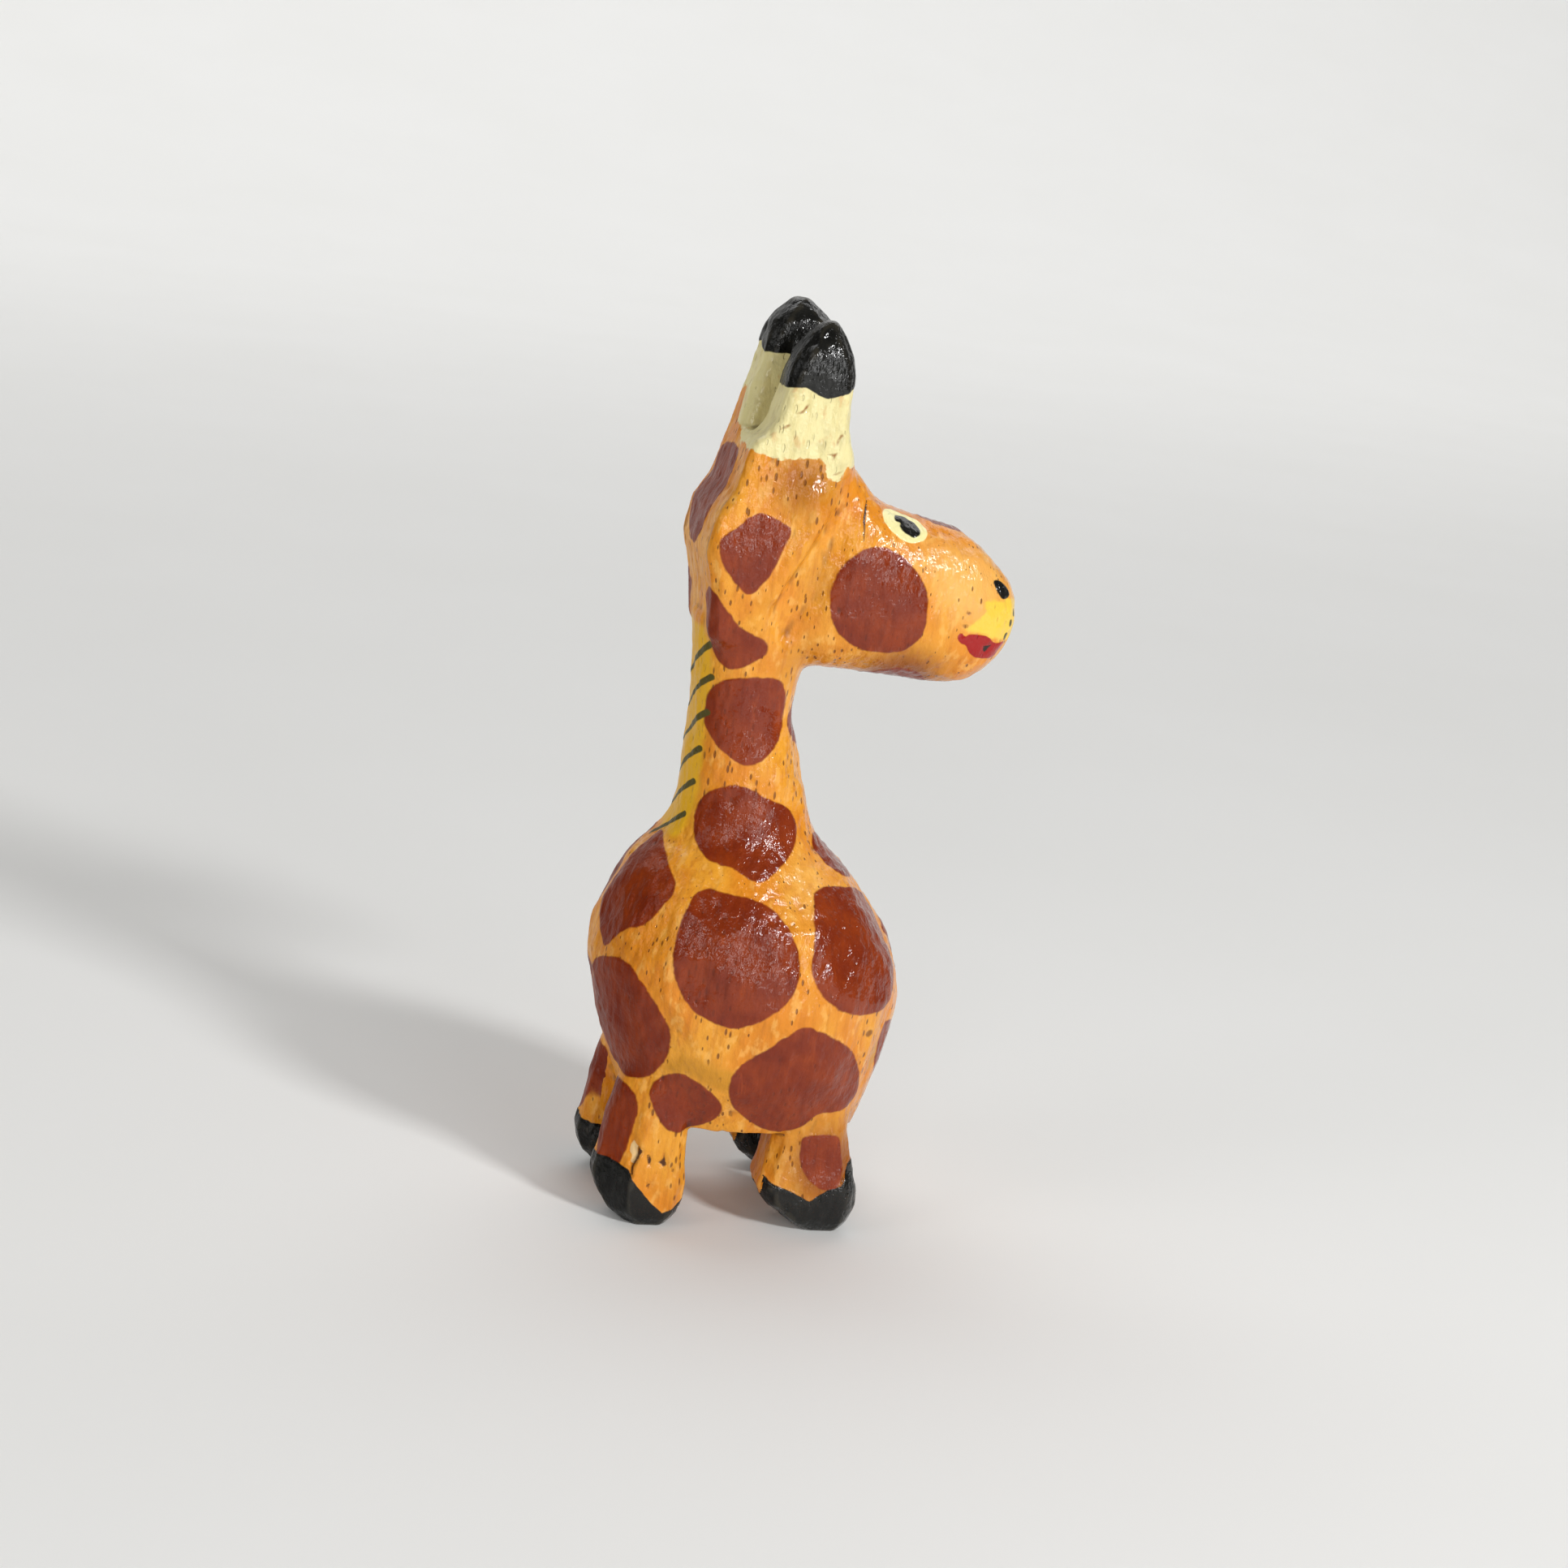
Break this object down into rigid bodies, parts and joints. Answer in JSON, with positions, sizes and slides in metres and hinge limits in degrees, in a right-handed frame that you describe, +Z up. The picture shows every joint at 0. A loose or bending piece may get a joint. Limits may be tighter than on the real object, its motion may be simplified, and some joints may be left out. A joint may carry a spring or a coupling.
{
  "type": "carved giraffe statue",
  "caption": "Small chubby giraffe carved from a block of wood, with stub legs, painted spots and black-tipped horns; stands on a shelf as an ornament.",
  "frame": {"origin": "under the middle of the giraffe's box, on the plane that the four hooves stand on", "axes": "+Z up, +X forwards, towards the snout, -Y to the giraffe's right"},
  "size_m": [0.0296, 0.021, 0.07],
  "materials": {
    "orange_paint": "pale wood with an orange wash, brown spots and a glossy varnish",
    "cream_paint": "wood with worn cream paint under a glossy varnish",
    "black_paint": "wood with thick glossy black paint"
  },
  "bodies": {
    "root": {"body": "orange_paint", "neck": "orange_paint", "head": "orange_paint", "ear_right": "orange_paint", "ear_left": "orange_paint", "horn_right": "cream_paint", "horn_left": "cream_paint", "horn_tip_right": "black_paint", "horn_tip_left": "black_paint", "leg_front_right": "orange_paint", "leg_front_left": "orange_paint", "leg_rear_right": "orange_paint", "leg_rear_left": "orange_paint", "hoof_front_right": "black_paint", "hoof_front_left": "black_paint", "hoof_rear_right": "black_paint", "hoof_rear_left": "black_paint"}
  },
  "joints": []
}
